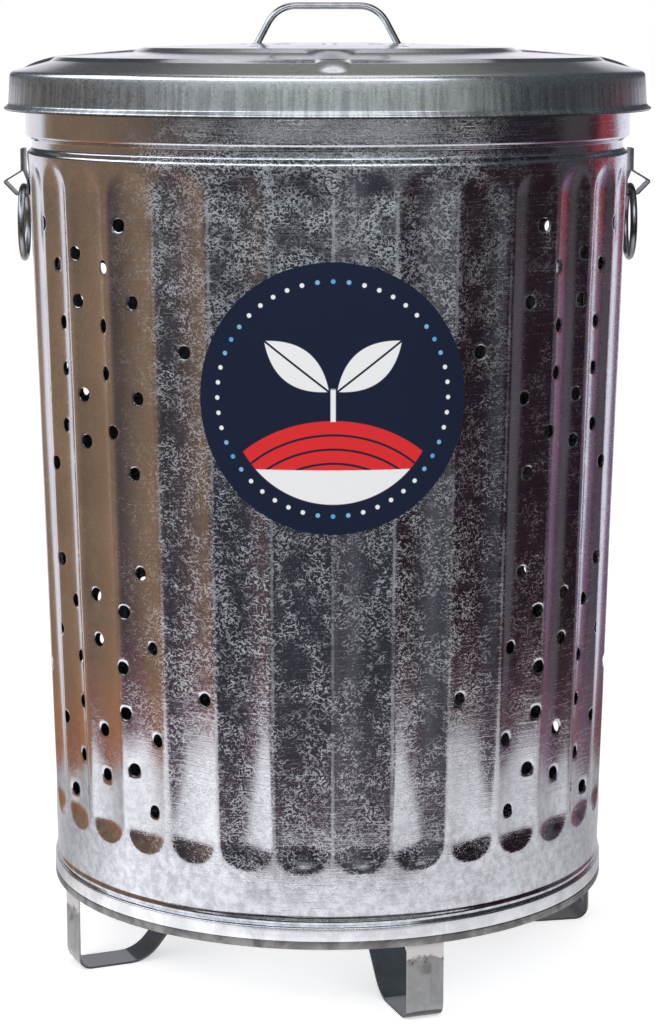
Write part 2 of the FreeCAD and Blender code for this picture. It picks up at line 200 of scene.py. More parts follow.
def round_point(radius, angle, height):
    """Points at an angle from the front, in degrees; numbers or arrays."""
    turn = np.radians(angle)
    return np.stack(np.broadcast_arrays(radius * np.sin(turn), -radius * np.cos(turn), height), axis=-1)


def new_mesh(name, points, faces):
    mesh = bpy.data.meshes.new(name)
    mesh.from_pydata([tuple(point) for point in points], [], faces)
    return mesh


def add_object(name, data):
    """Object in the scene for a mesh, a lamp or a lens."""
    made = bpy.data.objects.new(name, data)
    bpy.context.scene.collection.objects.link(made)
    return made


def add_piece(name, points, faces, body, replaced, sharp=32.0):
    """Smooth-shaded mesh that stands for CAD nodes and rides on their body."""
    mesh = new_mesh(name, points, faces)
    shape = bmesh.new()
    shape.from_mesh(mesh)
    bmesh.ops.recalc_face_normals(shape, faces=shape.faces)
    shape.to_mesh(mesh)
    shape.free()
    mesh.shade_smooth()
    mesh.set_sharp_from_angle(angle=math.radians(sharp))
    piece = add_object(name, mesh)
    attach(piece, body)
    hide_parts(*replaced)
    return piece


def loft(rings, closed):
    """Points and faces through rings of points, joined to a loop or capped at both ends."""
    count = len(rings[0])
    points = [point for ring in rings for point in ring]
    faces = []
    for step in range(len(rings) if closed else len(rings) - 1):
        low = step * count
        high = (step + 1) % len(rings) * count
        for side in range(count):
            after = (side + 1) % count
            faces.append((low + side, low + after, high + after, high + side))
    if not closed:
        faces.append(tuple(range(count))[::-1])
        faces.append(tuple(range(len(points) - count, len(points))))
    return points, faces


def path_sides(path, closed=False):
    """Unit normals on the left of a flat path."""
    if closed:
        run = np.roll(path, -1, axis=0) - np.roll(path, 1, axis=0)
    else:
        run = np.gradient(path, axis=0)
    run = run / np.linalg.norm(run, axis=1, keepdims=True)
    return np.stack([-run[:, 1], run[:, 0]], axis=1)


class SheetSkin:
    """Two faces of a round sheet as grids of rows and columns, with punched holes and joined edges."""

    def __init__(self, outer, inner):
        self.rows, self.columns = outer.shape[:2]
        self.points = list(outer.reshape(-1, 3)) + list(inner.reshape(-1, 3))
        self.lift = self.rows * self.columns
        self.open = set()
        self.faces = []

    def index(self, row, column, side):
        return row * self.columns + column % self.columns + (0 if side > 0 else self.lift)

    def punch(self, rows, columns, place, surface, lip):
        """Hole in the cells round some rows and columns: rings run from their edge in to the circle."""
        low, high = rows[0] - 1, rows[-1] + 1
        left, right = columns[0] - 1, columns[-1] + 1
        block = [(row, column % self.columns) for row in range(low, high) for column in range(left, right)]
        self.open.update(block)
        edge = [(low, column) for column in range(left, right)]
        edge += [(row, right) for row in range(low, high)]
        edge += [(high, column) for column in range(right, left, -1)]
        edge += [(row, left) for row in range(high, low, -1)]
        start = np.array([place(row, column) for row, column in edge])
        circle = VENT_RADIUS * start / np.linalg.norm(start, axis=1, keepdims=True)
        rims = []
        for side in (1, -1):
            ring = [self.index(row, column, side) for row, column in edge]
            for share in VENT_RINGS:
                local = start + (circle - start) * share
                dip = lip * max(0.0, (share - VENT_LIP_START) / (1 - VENT_LIP_START)) ** 2
                new = [len(self.points) + step for step in range(len(edge))]
                self.points.extend(surface(local[:, 0], local[:, 1], side, dip))
                self.join(ring, new, side)
                ring = new
            rims.append(ring)
        self.join(rims[0], rims[1], 1)

    def join(self, first, second, side):
        """Quads between two closed rings of points."""
        count = len(first)
        for step in range(count):
            after = (step + 1) % count
            quad = (first[step], first[after], second[after], second[step])
            self.faces.append(quad if side > 0 else quad[::-1])

    def row_ring(self, row, side):
        return [self.index(row, column, side) for column in range(self.columns)]

    def finish(self, centre=False):
        """All faces, with the skins joined along the first row and the last, or capped at the centre."""
        for row in range(self.rows - 1):
            for column in range(self.columns):
                if (row, column) in self.open:
                    continue
                for side in (1, -1):
                    quad = (self.index(row, column, side), self.index(row, column + 1, side),
                            self.index(row + 1, column + 1, side), self.index(row + 1, column, side))
                    self.faces.append(quad if side > 0 else quad[::-1])
        self.join(self.row_ring(0, -1), self.row_ring(0, 1), 1)
        last = [self.row_ring(self.rows - 1, side) for side in (1, -1)]
        if centre:
            self.faces.extend([last[0], last[1][::-1]])
        else:
            self.join(*last, 1)
        return self.points, self.faces


def smooth_step(value):
    share = np.clip(value, 0.0, 1.0)
    return share * share * (3 - 2 * share)


def vent_points(tilt):
    """Across and up offsets of one group: rings of 6, 10 and 6 holes, tilted as a whole."""
    inner = [(1, 30 + 60 * step) for step in range(6)]
    middle = [(2, 30 * step) for step in range(12) if step % 6]
    outer = [(3, 60 * step) for step in range(6)]
    for ring, angle in inner + middle + outer:
        turn = math.radians(angle + tilt)
        yield ring * VENT_RING_STEP * math.cos(turn), ring * VENT_RING_STEP * math.sin(turn)


def cone_radius(height):
    return FOOT_RADIUS + WALL_TAPER * (height - FOOT_HEIGHT)


def wall_radius(height):
    """Outside radius on a ridge: cone, groove and collar with soft bends between them."""
    groove = SHOULDER_RADIUS - GROOVE_DEPTH
    groove_end = SHOULDER_HEIGHT + GROOVE_HEIGHT - GROOVE_SLOPE
    inward = smooth_step((height - SHOULDER_HEIGHT + SHOULDER_ROUND - GROOVE_SLOPE) / SHOULDER_ROUND)
    outward = smooth_step((height - groove_end) / GROOVE_SLOPE)
    cone = np.minimum(cone_radius(height), SHOULDER_RADIUS)
    bead = BEAD_RISE * np.exp(-((height - SEAM_TOP - BEAD_LIFT) / BEAD_HALF) ** 2)
    return cone + bead + (groove - cone) * inward + (COLLAR_RADIUS - groove) * outward


def flute_depth(angle, height):
    """How far the wall is pressed in: round-ended hollows with soft edges."""
    pitch = 360 / FLUTES
    across = np.radians((angle % pitch) - pitch / 2) * cone_radius(height)
    past_bottom = FLUTE_BOTTOM + FLUTE_HALF - height
    past_top = height - FLUTE_TOP + FLUTE_HALF
    past_end = np.maximum(np.maximum(past_bottom, past_top), 0.0)
    hollow = FLUTE_DEPTH * (1 - (across ** 2 + past_end ** 2) / FLUTE_HALF ** 2)
    hollow = np.maximum(hollow, FLUTE_LEAST)
    return (hollow + np.sqrt(hollow ** 2 + FLUTE_SOFT ** 2)) / 2


def wall_waver(angle, height):
    """Small unevenness of the rolled sheet."""
    turn = np.radians(angle)
    total = 0.0
    for rise, start, (round_first, up_first), (round_second, up_second) in WALL_WAVERS:
        first = np.sin(round_first * turn + up_first * height + start)
        total = total + rise * first * np.sin(round_second * turn + up_second * height)
    return total


def wall_skin(angle, height, side, dip=0.0):
    """Points on the wall's outer (side 1) or inner (side -1) face."""
    step = 0.2 * MM
    slope = (wall_radius(height + step) - wall_radius(height - step)) / (2 * step)
    lean = 1 / np.sqrt(1 + slope ** 2)
    radius = wall_radius(height) - SHEET / 2 - flute_depth(angle, height) + wall_waver(angle, height) - dip
    return round_point(radius + side * lean * SHEET / 2, angle, height - side * slope * lean * SHEET / 2)


def stepped(start, stretches):
    """Heights from a start through (end, step) stretches in millimetres, without repeats."""
    slack = 0.01
    heights = []
    for end, step in stretches:
        heights.extend(np.arange(start, end - slack, step))
        start = end
    return np.array(heights + [start]) * MM


def make_wall():
    """Wall with flutes, vents, groove and curled rim in one sheet."""
    heights = stepped(FOOT_HEIGHT / MM, WALL_ROWS)
    share = np.arange(FLUTE_COLUMNS) / FLUTE_COLUMNS
    share = share - COLUMN_CROWDING * np.sin(2 * np.pi * share)
    columns = np.concatenate([(flute + share) * 360 / FLUTES for flute in range(FLUTES)])
    skins = []
    for side in (1, -1):
        straight = wall_skin(columns[None, :], heights[:, None], side)
        bend = CURL_BEND - side * SHEET / 2
        arc = np.radians(np.linspace(CURL_START, CURL_END, CURL_ROWS))[:, None]
        middle = COLLAR_RADIUS - SHEET / 2 + CURL_BEND
        roll_height = RIM_HEIGHT - CURL_BEND - SHEET / 2 + bend * np.sin(arc)
        curl = round_point(middle + bend * np.cos(arc), columns[None, :], roll_height)
        skins.append(np.concatenate([straight, curl]))
    sheet = SheetSkin(*skins)
    for height, centre in VENT_GROUPS:
        for facing, tilt in ((centre, -VENT_TILT), (-centre, VENT_TILT),
                             (180 - centre, VENT_TILT), (180 + centre, -VENT_TILT)):
            for across, up in vent_points(tilt):
                punch_wall(sheet, columns, heights, facing, height, across, up)
    points, faces = sheet.finish()
    return add_piece("bin_wall", points, faces, "can", ("body_shell", "rim_roll"))


def turned(angle, facing):
    """Angle from a facing, between -180 and 180 degrees."""
    return (angle - facing + 180) % 360 - 180


def columns_near(columns, facing, reach):
    """Numbers of the columns within reach of a facing, as one run even across the first column."""
    near = np.nonzero(np.abs(turned(columns, facing)) < reach)[0]
    if near[-1] - near[0] > len(columns) / 2:
        near = np.sort((near + len(columns) // 2) % len(columns)) - len(columns) // 2
    return near


def punch_wall(sheet, columns, heights, facing, group_height, across, up):
    level = group_height + up
    radius = float(cone_radius(level))
    turn = facing + math.degrees(across / radius)

    def place(row, column):
        return math.radians(turned(columns[column % len(columns)], turn)) * radius, heights[row] - level

    def surface(along, rise, side, dip):
        return wall_skin(turn + np.degrees(along / radius), level + rise, side, dip)

    rows = np.nonzero(np.abs(heights - level) < VENT_PATCH)[0]
    near = columns_near(columns, turn, math.degrees(VENT_PATCH / radius))
    sheet.punch(rows, near, place, surface, VENT_LIP)


def path_points(corners, spacing, bend_steps=5):
    """Points along (radius, height, rounding) corners, with arcs at the rounded ones."""
    points = [np.array(corner[:2]) for corner in corners]
    path = [points[0]]
    for before, here, after, corner in zip(points, points[1:], points[2:], corners[1:]):
        back = (before - here) / np.linalg.norm(before - here)
        ahead = (after - here) / np.linalg.norm(after - here)
        half = math.acos(np.clip(back @ ahead, -1, 1)) / 2
        reach = corner[2] / math.tan(half)
        straight_to(path, here + back * reach, spacing)
        if corner[2] > 0:
            for share in np.arange(1, bend_steps + 1) / bend_steps:
                path.append(corner_arc(here, back, ahead, reach, share))
    straight_to(path, points[-1], spacing)
    return np.array(path)


def corner_arc(here, back, ahead, reach, share):
    """Point on the round of a corner that starts and ends at the same reach from it."""
    half = math.acos(np.clip(back @ ahead, -1, 1)) / 2
    middle = (back + ahead) / np.linalg.norm(back + ahead)
    radius = reach * math.tan(half)
    centre = here + middle * radius / math.sin(half)
    start = here + back * reach - centre
    end = here + ahead * reach - centre
    sweep = math.pi - 2 * half
    spot = start * math.sin((1 - share) * sweep) + end * math.sin(share * sweep)
    return centre + spot / math.sin(sweep)


def straight_to(path, end, spacing):
    start = path[-1]
    length = float(np.linalg.norm(end - start))
    if length < TINY:
        return
    count = max(1, round(length / spacing))
    path.extend(start + (end - start) * step / count for step in range(1, count + 1))


def make_lid():
    """Lid sheet from the middle out to the rolled hem, with ribs and vents."""
    turn = np.radians(np.linspace(*HEM_ARC, HEM_ROWS))
    bead = np.array([HEM_RADIUS, HEM_HEIGHT]) + HEM_BEAD * np.stack([np.cos(turn), np.sin(turn)], axis=1)
    path = np.concatenate([path_points(LID_PROFILE, LID_ROW_STEP), bead])
    outward = path_sides(path)
    columns = lid_columns()
    relief = rib_relief(columns[None, :], path[:, :1], path[:, 1:])
    skins = []
    for shift in (0.0, SHEET):
        line = path - outward * shift
        skins.append(round_point(line[:, :1], columns[None, :], line[:, 1:] + relief)[::-1])
    sheet = SheetSkin(*skins)
    radii = path[::-1, 0]
    crown = np.argmin(np.abs(radii - CROWN_RADIUS))
    for across, along in vent_points(0):
        punch_lid(sheet, columns, radii, path, crown, across, along)
    points, faces = sheet.finish(centre=True)
    return add_piece("lid_sheet", points, faces, "lid", ("lid_cover",))


def lid_columns():
    """Angles round the lid, close together over the ribs."""
    quarter = np.concatenate([
        np.arange(0, RIB_COLUMN_REACH, RIB_COLUMN_STEP),
        np.arange(RIB_COLUMN_REACH, 90 - RIB_COLUMN_REACH, LID_COLUMN_STEP),
        np.arange(90 - RIB_COLUMN_REACH, 90, RIB_COLUMN_STEP)])
    return np.concatenate([quarter + 90 * step for step in range(4)])


def rib_relief(angle, radius, height):
    """Rise of the four ribs over the lid's own profile."""
    aside = radius * np.sin(np.radians((angle + 45) % 90 - 45))
    half = RIB_HALF_WIDTH + RIB_FLARE * np.exp((RIB_START - radius) / RIB_FLARE_RUN)
    past_round = np.maximum(radius - RIB_ROUND_START, 0.0) / RIB_ROUND_RUN
    half = half * np.sqrt(np.clip(1 - past_round ** 2, 0.0, 1.0))
    dome = np.clip(1 - (aside / (half + RIB_EDGE)) ** 2, 0.0, 1.0)
    ridge = LID_SEAT + np.interp(radius, *zip(*RIB_PROFILE))
    inside = (radius > RIB_PROFILE[0][0]) & (radius < RIB_PROFILE[-1][0]) & (height > RIB_LOWEST)
    return np.where(inside, dome * np.maximum(ridge - height, 0.0), 0.0)


def punch_lid(sheet, columns, radii, path, crown, across, along):
    distance = math.hypot(across, along)
    turn = math.degrees(math.atan2(across, -along)) % 360
    sine, cosine = math.sin(math.radians(turn)), math.cos(math.radians(turn))

    def place(row, column):
        spot = round_point(radii[row], columns[column % len(columns)], 0.0)
        x, y = spot[0] - across, spot[1] - along
        return x * cosine + y * sine, y * cosine - x * sine

    def surface(around, inwards, side, dip):
        x = across + around * cosine - inwards * sine
        y = along + around * sine + inwards * cosine
        height = np.interp(np.hypot(x, y), *path[path[:, 0] < CROWN_RADIUS].T)
        return np.stack([x, y, height - dip - (0.0 if side > 0 else SHEET)], axis=-1)

    rows = np.nonzero((np.abs(radii - distance) < VENT_PATCH) & (np.arange(len(radii)) > crown))[0]
    near = columns_near(columns, turn, math.degrees(VENT_PATCH / distance))
    sheet.punch(rows, near, place, surface, LID_VENT_LIP)


def make_label():
    """Round card, bent round the front ridges."""
    reach = np.append(np.linspace(LABEL_RADIUS, LABEL_CORE[0], LABEL_RINGS - 1), LABEL_CORE[1])[:, None]
    turn = np.linspace(0, 2 * np.pi, LABEL_SPOKES, endpoint=False)[None, :]
    bend = float(cone_radius(LABEL_HEIGHT)) + LABEL_GAP
    across = bend * np.sin(reach * np.cos(turn) / bend)
    up = reach * np.sin(turn)
    skins = []
    for side in (1, -1):
        gap = LABEL_GAP + (LABEL_THICKNESS if side > 0 else 0.0)
        depth = np.sqrt((cone_radius(LABEL_HEIGHT + up) + gap) ** 2 - across ** 2)
        skins.append(np.stack(np.broadcast_arrays(across, -depth, LABEL_HEIGHT + up), axis=-1))
    points, faces = SheetSkin(*skins).finish(centre=True)
    return add_piece("front_label", points, faces, "can", ("label",))


def make_hoop(name, node, inside, outer_round, inner_round):
    """Ring turned round the axis from a box section with rounded corners."""
    low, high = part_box(node)
    start = (inside, (low.z + high.z) / 2, 0)
    corners = [start, (inside, low.z, inner_round), (SEAM_OUTSIDE, low.z, outer_round),
               (SEAM_OUTSIDE, high.z, outer_round), (inside, high.z, inner_round), start]
    section = path_points(corners, HOOP_SPACING)[:-1]
    rings = [round_point(section[:, 0], angle, section[:, 1]) for angle in np.arange(0, 360, HOOP_STEP)]
    points, faces = loft(rings, closed=True)
    return add_piece(name, points, faces, "can", (node,), HOOP_SHARP)


def make_leg(number):
    """Bent strap with a pressed rib on its outer upright."""
    tab_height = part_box("leg_1")[1].z - LEG_THICKNESS
    heel = LEG_OUTSIDE - LEG_RUN
    toe = heel - tab_height / math.tan(math.radians(LEG_RISE_ANGLE))
    corners = [(toe - LEG_TAB, tab_height, 0), (toe, tab_height, LEG_TAB_BEND), (heel, 0.0, LEG_HEEL_BEND),
               (LEG_OUTSIDE, 0.0, LEG_FOOT_BEND), (LEG_OUTSIDE, LEG_TOP, 0)]
    path = path_points(corners, LEG_SPACING)
    inward = path_sides(path)
    across = np.linspace(-LEG_HALF_WIDTH, LEG_HALF_WIDTH, LEG_COLUMNS)
    bulge = smooth_step((LEG_RIB_HALF - np.abs(across)) / LEG_RIB_FLANK) * LEG_RIB_RISE
    turn = LEG_ANGLES[number - 1]
    rings = []
    for spot, side in zip(path, inward):
        upright = smooth_step((spot[0] - LEG_OUTSIDE) / LEG_RIB_DEPTH_RUN + 1)
        under_top = smooth_step((LEG_RIB_TOP - spot[1]) / LEG_RIB_TOP_RUN)
        over_bottom = smooth_step((spot[1] - LEG_RIB_BOTTOM) / LEG_RIB_BOTTOM_RUN)
        push = bulge * upright * under_top * over_bottom
        outer = spot - side * push[:, None]
        inner = spot + side * (LEG_THICKNESS - push)[:, None]
        section = np.concatenate([outer, inner[::-1]])
        aside = np.concatenate([across, across[::-1]])
        rings.append(leg_place(section, aside, turn))
    points, faces = loft(rings, closed=False)
    return add_piece("strap_leg_%d" % number, points, faces, "can", ("leg_%d" % number,))


def leg_place(section, aside, turn):
    """A leg's section at its place round the bin, from (radius, height) and the distance aside."""
    facing = math.radians(turn)
    x = section[:, 0] * math.sin(facing) + aside * math.cos(facing)
    y = -section[:, 0] * math.cos(facing) + aside * math.sin(facing)
    return np.stack([x, y, section[:, 1]], axis=1)


def wire_rings(path, radius, closed):
    """Round sections along a flat path, as places in its plane and distances out of that plane."""
    sides = path_sides(path, closed)
    turns = np.linspace(0, 2 * np.pi, WIRE_SIDES, endpoint=False)
    return [[(spot + side * radius * math.cos(turn), radius * math.sin(turn)) for turn in turns]
            for spot, side in zip(path, sides)]


def make_drop_ring(name, node):
    """Wire ring that hangs flat against the wall, in the plane of Y and Z."""
    low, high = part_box(node)
    centre = (low + high) / 2
    turns = np.linspace(0, 2 * np.pi, RING_STEPS, endpoint=False)
    path = RING_RADIUS * np.stack([np.cos(turns), np.sin(turns)], axis=1)
    rings = [[(centre.x + out, centre.y + flat[0], centre.z + flat[1]) for flat, out in ring]
             for ring in wire_rings(path, RING_WIRE, closed=True)]
    points, faces = loft(rings, closed=True)
    return add_piece(name, points, faces, node, (node,))


def make_handle():
    """Bent wire handle."""
    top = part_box("lid_handle")[1].z - HANDLE_WIRE
    foot = LID_SUMMIT - HANDLE_SINK
    corners = [(-HANDLE_FOOT, foot, 0), (-HANDLE_CORNER, top, HANDLE_BEND),
               (HANDLE_CORNER, top, HANDLE_BEND), (HANDLE_FOOT, foot, 0)]
    path = path_points(corners, HANDLE_SPACING, HANDLE_BEND_STEPS)
    rings = [[(flat[0], out, flat[1]) for flat, out in ring]
             for ring in wire_rings(path, HANDLE_WIRE, closed=False)]
    points, faces = loft(rings, closed=False)
    return add_piece("lid_wire_handle", points, faces, "lid", ("lid_handle",))


# Finishes

# Painted shade in creases: occlusion samples and reach, the openness it fades over, and how dark it paints
CREVICE_SAMPLES = 8
CREVICE_REACH = 9.0 * MM
CREVICE_OPEN = (0.25, 0.85)
CREVICE_SHADE_LEVEL = 0.62


class Term:
    """A socket in a finish; arithmetic on it adds Math nodes."""

    def __init__(self, finish, socket):
        self.finish = finish
        self.socket = socket

    def calc(self, operation, *others):
        return self.finish.maths(operation, self, *others)

    def __add__(self, other):
        return self.calc("ADD", other)

    def __radd__(self, other):
        return self.finish.maths("ADD", other, self)

    def __sub__(self, other):
        return self.calc("SUBTRACT", other)

    def __rsub__(self, other):
        return self.finish.maths("SUBTRACT", other, self)

    def __mul__(self, other):
        return self.calc("MULTIPLY", other)

    def __rmul__(self, other):
        return self.finish.maths("MULTIPLY", other, self)

    def __truediv__(self, other):
        return self.calc("DIVIDE", other)

    def __rtruediv__(self, other):
        return self.finish.maths("DIVIDE", other, self)


class Finish:
    """Node tree of a material or a world, with places on the object in metres."""

    def __init__(self, owner):
        self.owner = owner
        owner.use_nodes = True
        self.tree = owner.node_tree
        self.tree.nodes.clear()
        self.place = self.term("ShaderNodeTexCoord", {}, {}, "Object")
        parts = self.node("ShaderNodeSeparateXYZ", {}, {0: self.place}).outputs
        self.x, self.y, self.z = [Term(self, parts[step]) for step in range(3)]

    def node(self, kind, settings, sockets):
        """New node: settings first, then values or links for its sockets."""
        made = self.tree.nodes.new(kind)
        for key, value in settings.items():
            setattr(made, key, value)
        for key, value in sockets.items():
            if isinstance(value, Term):
                self.tree.links.new(value.socket, made.inputs[key])
            else:
                made.inputs[key].default_value = value
        return made

    def term(self, kind, settings, sockets, output=0):
        return Term(self, self.node(kind, settings, sockets).outputs[output])

    def maths(self, operation, *values):
        return self.term("ShaderNodeMath", {"operation": operation}, dict(enumerate(values)))

    def joined(self, x, y, z):
        return self.term("ShaderNodeCombineXYZ", {}, {"X": x, "Y": y, "Z": z})

    def noise(self, scale, detail=3.0, roughness=0.6, distortion=0.0, place=None):
        sockets = {"Vector": place or self.place, "Scale": scale, "Detail": detail,
                   "Roughness": roughness, "Distortion": distortion}
        return self.term("ShaderNodeTexNoise", {}, sockets)

    def between(self, value, low, high, start=0.0, end=1.0):
        """Smooth step of a value from start at low to end at high."""
        sockets = {"Value": value, "From Min": low, "From Max": high, "To Min": start, "To Max": end}
        return self.term("ShaderNodeMapRange", {"interpolation_type": "SMOOTHSTEP"}, sockets)

    def blend(self, share, first, second):
        """Colour between two colours."""
        first, second = [value if isinstance(value, Term) else (*value, 1.0) for value in (first, second)]
        return self.term("ShaderNodeMix", {"data_type": "RGBA"}, {"Factor": share, 6: first, 7: second}, 2)

    def around(self, radius):
        """Distance round the bin's axis from the front, at a radius."""
        return self.maths("ARCTAN2", self.x, 0 - self.y) * radius

    def reach(self):
        """Distance from the bin's axis."""
        return self.distance(self.x, self.y)

    def distance(self, first, second):
        """Length across two sides at a right angle."""
        return (first * first + second * second).calc("SQRT")

    def painted_crevice_shade(self, reach):
        """Painted shade in creases from ambient occlusion: 1 on open faces, less where others stand close.
        """
        settings = {"samples": CREVICE_SAMPLES, "only_local": True}
        open_share = self.term("ShaderNodeAmbientOcclusion", settings, {"Distance": reach}, "AO")
        return self.between(open_share, *CREVICE_OPEN, start=CREVICE_SHADE_LEVEL)

    def bump(self, height, depth, strength):
        return self.term("ShaderNodeBump", {}, {"Strength": strength, "Distance": depth, "Height": height})

    def surface(self, sockets):
        """Principled shader on the material's output."""
        shader = self.term("ShaderNodeBsdfPrincipled", {}, sockets)
        self.node("ShaderNodeOutputMaterial", {}, {"Surface": shader})
        return self.owner


# Wall's finish: its flecks, then where each mark starts and ends, by height or round from the front
FLECK_LEANS = (5, 40, -32, -80)
FLECK_LENGTH = 3.4 * MM
FLECK_WIDTH = 1.15 * MM
FLECK_LAYER = 7.3
FLECK_CUT = (0.603, 0.578)
FLECK_EDGE = 0.07
WALL_ROUND = 210.0 * MM
RIDGE_STEP = 2 * math.pi * WALL_ROUND / FLUTES
# Painted highlight along the ridges: its reach from each ridge, then the heights where it starts and stops
RIDGE_HIGHLIGHT_REACH = (1.8 * MM, 0.6 * MM)
RIDGE_FOOT = (0.112, 0.128)
RIDGE_HEAD = (0.580, 0.560)
UPPER_WALL = (0.40, 0.56)
LOWER_WALL = (0.16, 0.32)
FLECK_FOOT = (0.088, 0.108)
COLLAR_START = (0.590, 0.602)
SMOOTH_SIDE = (-0.175, -0.105)
DARK_SIDE = (0.085, 0.13)
SPOT_STRETCH = (0.36, 0.30)
SPOT_CELLS = 36.0
SPOT_EDGE = (0.065, 0.045)
SPOT_CHANCE = (0.54, 0.57)
ROLLED_LINES = (28.0, 900.0)
WORN_STRETCH = (0.20, 0.10)
ZINC_BARE = (0.66, 0.67, 0.70)
ZINC_DULL = (0.95, 0.97, 0.98)


def zinc_flecks(finish, across, up):
    """Short pale strokes of the zinc coat, leaning four ways, 0 to 1."""
    flecks = 0.0
    sparse = finish.between(up, *UPPER_WALL, *FLECK_CUT)
    for number, lean in enumerate(FLECK_LEANS):
        turn = math.radians(lean)
        along = across * math.cos(turn) + up * math.sin(turn)
        aside = up * math.cos(turn) - across * math.sin(turn)
        place = finish.joined(along * (1 / FLECK_LENGTH), aside * (1 / FLECK_WIDTH), FLECK_LAYER * number)
        grain = finish.noise(1.0, detail=1.5, roughness=0.5, distortion=0.5, place=place)
        stroke = finish.between(grain, sparse, sparse + FLECK_EDGE)
        flecks = stroke.calc("MAXIMUM", flecks)
    return flecks


def wall_finish():
    """Hot-dipped sheet: bright metal under dull flecks, fine rolling lines, clouds and round spots."""
    finish = Finish(bpy.data.materials.new("wall_zinc"))
    across = finish.around(WALL_ROUND)
    flecks = zinc_flecks(finish, across, finish.z)
    clouds = finish.noise(16.0, distortion=0.4)
    patches = finish.between(finish.noise(60.0, roughness=0.65), 0.36, 0.62, start=0.30)
    smooth_side = finish.between(across, *SMOOTH_SIDE, start=0.22)
    flecks = flecks * patches * smooth_side * finish.between(finish.z, *FLECK_FOOT, start=0.3)
    flecks = flecks * finish.between(finish.z, *LOWER_WALL, start=0.64)
    flecks = flecks * finish.between(across, *DARK_SIDE, start=1.0, end=0.46)
    flecks = flecks * finish.between(finish.z, *COLLAR_START, start=1.2, end=0.7)
    cells = {"Vector": finish.joined(across, finish.z, 0.0), "Scale": SPOT_CELLS}
    spots = finish.between(finish.term("ShaderNodeTexVoronoi", {}, cells, "Distance"), *SPOT_EDGE)
    spots = spots * finish.between(finish.noise(21.0, detail=0.0), *SPOT_CHANCE)
    spots = spots * finish.between(finish.z, *SPOT_STRETCH)
    flecks = flecks.calc("MAXIMUM", spots)
    rolled = finish.joined(across * ROLLED_LINES[0], finish.z * ROLLED_LINES[1], 0.0)
    lines = finish.noise(1.0, detail=2.0, place=rolled)
    lines = finish.between(lines, 0.5, 0.72) * smooth_side
    grain = finish.noise(800.0, detail=2.0)
    from_ridge = (across / RIDGE_STEP).calc("PINGPONG", 0.5) * RIDGE_STEP
    # Painted highlight along each ridge: paler, rougher zinc there, in cloudy patches
    ridge_highlight = finish.between(from_ridge, *RIDGE_HIGHLIGHT_REACH) * finish.between(clouds, 0.35, 0.55, start=0.4)
    ridge_highlight = ridge_highlight * finish.between(finish.z, *RIDGE_FOOT) * smooth_side
    ridge_highlight = ridge_highlight * finish.between(finish.z, *RIDGE_HEAD)
    dull = (flecks + lines * 0.35 + ridge_highlight * 0.5).calc("MINIMUM", 1.0)
    tone = finish.blend(dull, ZINC_BARE, ZINC_DULL)
    low_wear = finish.between(finish.z, *WORN_STRETCH, start=0.05, end=0.30)
    smudge = finish.between(finish.noise(150.0, detail=6.0, roughness=0.75, distortion=0.3), 0.64, 0.36)
    # Painted shade in the wall's own creases, from its occlusion
    crevice_shade = finish.painted_crevice_shade(CREVICE_REACH)
    shade = 1.0 - finish.between(clouds, 0.62, 0.35) * 0.12 - smudge * low_wear
    tone = finish.term("ShaderNodeVectorMath", {"operation": "SCALE"}, {0: tone, "Scale": shade * crevice_shade})
    rough = 0.095 + dull * 0.37 + (clouds - 0.5) * 0.07 + (grain - 0.5) * 0.04
    relief = finish.bump(flecks * 0.9 + lines * 0.3 + grain * 0.2, depth=0.12 * MM, strength=0.42)
    return finish.surface({"Base Color": tone, "Metallic": 1.0, "Roughness": rough, "Normal": relief})


# Lid's finish
SKIRT_ROUND = 228.0 * MM
SKIRT_START = (LID_SEAT + 1 * MM, LID_SEAT - 4 * MM)
CREASE_START = (LID_SEAT - 4 * MM, LID_SEAT - 12 * MM)
DRAWN_WRINKLES = (250.0, 14.0)
# Painted shade along the hem's underside: heights it fades in over
HEM_SHADE_HEIGHTS = (HEM_HEIGHT - 0.1 * MM, HEM_HEIGHT - 0.7 * MM)
LID_TONES = ((0.70, 0.72, 0.725), (0.84, 0.86, 0.855))
FOLD_GREY = (0.34, 0.36, 0.365)
# Near-black colour of the painted shade under the hem
HEM_SHADE_DARK = (0.03, 0.03, 0.032)


def lid_finish():
    """Satin skirt with fine upright wrinkles where it was drawn, a brighter top with faint clouds, and
    painted shade under the hem.
    """
    finish = Finish(bpy.data.materials.new("lid_zinc"))
    across = finish.around(SKIRT_ROUND)
    clouds = finish.noise(22.0, distortion=0.5)
    mottle = finish.noise(330.0, distortion=1.6)
    skirt = finish.between(finish.z, *SKIRT_START)
    crease = finish.between(finish.z, *CREASE_START)
    drawn = finish.joined(across * DRAWN_WRINKLES[0], finish.z * DRAWN_WRINKLES[1], 0.0)
    wrinkles = finish.noise(1.0, detail=2.0, roughness=0.5, distortion=0.3, place=drawn)
    marks = finish.between(mottle, 0.30, 0.70)
    tone = finish.blend(marks, *LID_TONES)
    folds = finish.between(wrinkles, 0.40, 0.60, end=0.55) * crease
    tone = finish.blend(folds, tone, FOLD_GREY)
    # Painted shade: the hem's underside turned near-black
    tone = finish.blend(finish.between(finish.z, *HEM_SHADE_HEIGHTS), tone, HEM_SHADE_DARK)
    rough = 0.10 + marks * 0.05 + (clouds - 0.5) * 0.06 + skirt * 0.16
    relief = finish.bump(wrinkles * crease * 3.0 + mottle * 0.12, depth=0.16 * MM, strength=0.5)
    return finish.surface({"Base Color": tone, "Metallic": 1.0, "Roughness": rough, "Normal": relief})


